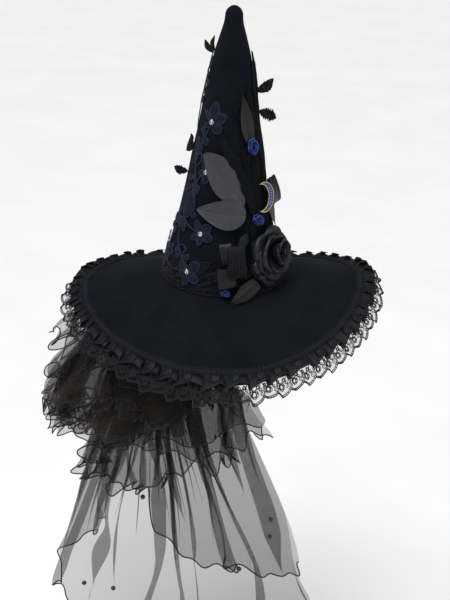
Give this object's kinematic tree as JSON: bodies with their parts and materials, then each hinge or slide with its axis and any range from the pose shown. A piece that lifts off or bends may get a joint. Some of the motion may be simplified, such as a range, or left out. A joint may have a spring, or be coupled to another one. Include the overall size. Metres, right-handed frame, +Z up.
{
  "type": "witch hat",
  "caption": "Tall felt cone hat on a wide drooping brim, edged with pleated ribbon and lace, with leaves, a rose, a crescent moon and a long tulle veil below the brim.",
  "frame": {"origin": "centre of the head opening, level with the top of the brim where the crown starts", "axes": "+Z up the crown, +X to the wearer's front, +Y to the wearer's left; the veil hangs at the back and right"},
  "size_m": [0.5326, 0.515, 1.0084],
  "materials": {
    "felt": "pressed wool felt, matte with a faint nap",
    "lining": "thin plain-weave lining, slight sheen",
    "sweatband": "ribbed grosgrain ribbon",
    "buckram": "stiff open-weave buckram",
    "wire": "drawn steel",
    "satin": "black satin ribbon with a grey sheen",
    "black_lace": "black lace and net",
    "applique": "dark navy corded lace",
    "crystal": "faceted clear crystal",
    "silver_setting": "polished claw cup",
    "leaf_satin": "charcoal satin, pinked edge",
    "leaf_velvet": "black velvet leaf",
    "garland": "crushed black chiffon",
    "gold": "gold-coloured metal",
    "blue_enamel": "glossy deep blue enamel",
    "blue_velvet": "royal blue satin",
    "rose_satin": "black satin petals",
    "tulle": "sheer black tulle",
    "hem": "rolled hem over a fine cord",
    "bead": "glossy black bead"
  },
  "bodies": {
    "hat": {"crown_felt": "felt", "crown_lining": "lining", "sweatband": "sweatband", "crown_base_lace": "black_lace", "brim_felt": "felt", "brim_interlining": "buckram", "brim_facing": "lining", "brim_wire": "wire", "wire_ferrule": "wire", "edge_binding": "satin", "ruffle_heading": "black_lace", "ruffle_ribbon": "satin", "lace_edging": "black_lace", "applique_upper": "applique", "applique_middle": "applique", "applique_lower": "applique", "applique_base": "applique", "applique_back_low": "applique", "applique_back_top": "applique", "rhinestones": "crystal", "rhinestone_settings": "silver_setting", "leaf_large_upper": "leaf_satin", "leaf_large_lower": "leaf_satin", "leaf_right_satin": "leaf_satin", "leaf_upright": "leaf_velvet", "leaf_left_round": "leaf_velvet", "leaf_left_pointed": "leaf_velvet", "leaf_right_upper": "leaf_velvet", "leaf_right_feathered": "leaf_velvet", "leaf_top_pair": "leaf_velvet", "garland_drape": "garland", "moon_frame": "gold", "moon_enamel": "blue_enamel", "moon_stones": "crystal", "rosebud_upper": "blue_velvet", "rosebud_middle": "blue_velvet", "rosebud_lower": "blue_velvet", "rose_core": "rose_satin", "rose_inner_petals": "rose_satin", "rose_middle_petals": "rose_satin", "rose_outer_petals": "rose_satin", "rose_base": "rose_satin", "bow_loop_upper": "satin", "bow_loop_lace": "black_lace", "bow_loop_lower": "satin", "bow_knot": "satin", "ribbon_tail": "satin", "right_ribbon_loop": "satin", "veil_band": "tulle"},
    "veil": {"veil_tier_lower": "tulle", "veil_tier_middle": "tulle", "veil_tier_upper": "tulle", "veil_pouf": "tulle", "veil_hem_lower": "hem", "veil_hem_middle": "hem", "veil_hem_upper": "hem", "veil_beads": "bead"}
  },
  "joints": [
    {"name": "veil_swing", "type": "hinge", "parent": "hat", "child": "veil", "pos_m": [-0.072, 0, -0.034], "axis": [0, 1, 0], "range_deg": [0, 12]}
  ]
}
